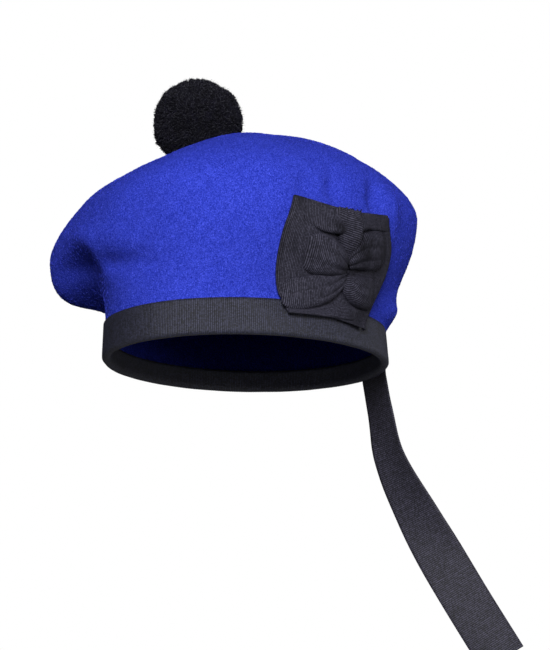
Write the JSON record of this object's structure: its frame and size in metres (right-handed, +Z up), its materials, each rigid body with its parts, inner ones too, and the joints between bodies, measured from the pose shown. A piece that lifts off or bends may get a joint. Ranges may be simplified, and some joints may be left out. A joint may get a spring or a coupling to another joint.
{
  "type": "balmoral bonnet",
  "caption": "Felted wool balmoral bonnet, drooping to one side, with a ribbon headband, a pompom on top, a ribbon cockade at the side and a ribbon tail hanging behind.",
  "frame": {"origin": "the centre of the head opening, level with the lowest edge of the headband", "axes": "+Z is up as the bonnet is worn, the wearer faces -Y, and the wearer's left, the side of the cockade, is +X"},
  "size_m": [0.2357, 0.2716, 0.3912],
  "materials": {
    "wool": "matt felted wool, royal blue",
    "band_ribbon": "ribbed grosgrain, black",
    "cockade_ribbon": "ribbed grosgrain, black",
    "tail_ribbon": "ribbed grosgrain with a faint violet sheen, black",
    "yarn": "matt cut wool yarn, black"
  },
  "bodies": {
    "root": {"crown": "wool", "headband": "band_ribbon", "toorie": "yarn", "cockade_patch": "cockade_ribbon", "cockade_rosette": "cockade_ribbon", "ribbon_tail": "tail_ribbon"}
  },
  "joints": []
}
